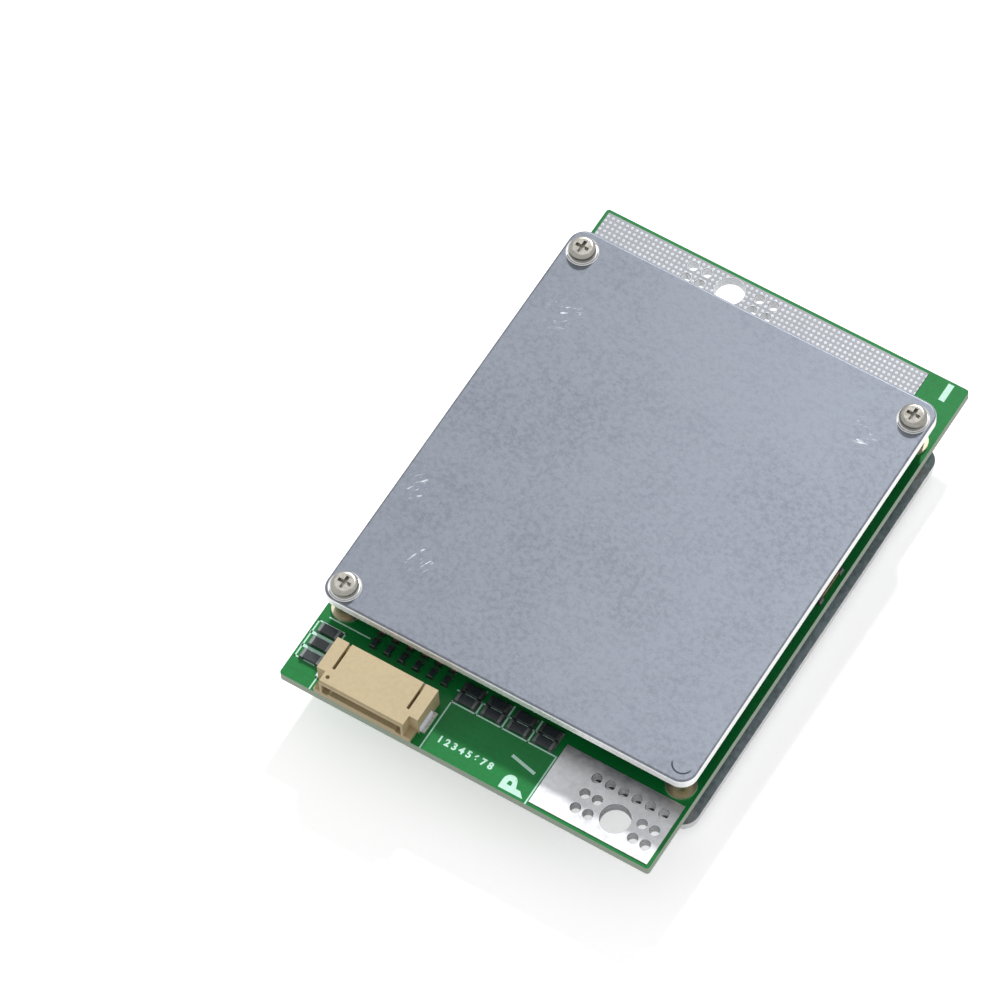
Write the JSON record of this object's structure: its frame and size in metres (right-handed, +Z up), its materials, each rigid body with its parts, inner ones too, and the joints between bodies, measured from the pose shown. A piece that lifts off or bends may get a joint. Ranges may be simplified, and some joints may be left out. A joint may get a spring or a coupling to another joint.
{
  "type": "battery management board",
  "caption": "Lithium battery protection circuit board held between two flat aluminium heat plates by brass spacers, with tinned wire terminals and a side-entry sense header",
  "frame": {"origin": "centre of the footprint at the lowest point, the underside of the lower screw heads", "axes": "+Y along the board from the battery terminal end to the pack terminal end, +X across the board with the battery terminal at +X, +Z up out of the component side"},
  "size_m": [0.06, 0.088, 0.017],
  "materials": {
    "solder_mask": "glossy green solder mask on glass-epoxy laminate",
    "tinned_land": "bright hot-air solder levelled tin",
    "plate_aluminium": "satin, as rolled, clear anodised",
    "screw_steel": "nickel plated",
    "spacer_brass": "turned",
    "thermal_silicone": "matte grey gap pad",
    "header_nylon": "moulded, matte beige",
    "tinned_lead": "tinned",
    "shunt_alloy": "bare resistance alloy",
    "package_epoxy": "moulded black epoxy",
    "resistor_ceramic": "black glazed element on ceramic",
    "capacitor_ceramic": "tan ceramic"
  },
  "bodies": {
    "root": {"circuit_board": "solder_mask", "battery_lands": "tinned_land", "pack_lands": "tinned_land", "top_heat_plate": "plate_aluminium", "bottom_heat_plate": "plate_aluminium", "top_screws": "screw_steel", "bottom_screws": "screw_steel", "upper_spacers": "spacer_brass", "lower_spacers": "spacer_brass", "upper_thermal_pad": "thermal_silicone", "lower_thermal_pad": "thermal_silicone", "upper_discharge_mosfets": "package_epoxy", "upper_discharge_leads": "tinned_lead", "upper_charge_mosfets": "package_epoxy", "upper_charge_leads": "tinned_lead", "lower_discharge_mosfets": "package_epoxy", "lower_discharge_leads": "tinned_lead", "lower_charge_mosfets": "package_epoxy", "lower_charge_leads": "tinned_lead", "header_housing": "header_nylon", "header_contacts": "tinned_lead", "header_tabs": "tinned_lead", "balance_resistors": "resistor_ceramic", "balance_resistor_ends": "tinned_lead", "sense_resistors": "resistor_ceramic", "sense_resistor_ends": "tinned_lead", "filter_resistors": "resistor_ceramic", "filter_resistor_ends": "tinned_lead", "filter_capacitors": "capacitor_ceramic", "filter_capacitor_ends": "tinned_lead", "balance_transistors": "package_epoxy", "balance_transistor_leads": "tinned_lead", "supply_regulator": "package_epoxy", "supply_regulator_leads": "tinned_lead", "monitor_chip": "package_epoxy", "monitor_chip_leads": "tinned_lead", "current_shunts": "shunt_alloy", "current_shunt_ends": "tinned_lead"}
  },
  "joints": []
}
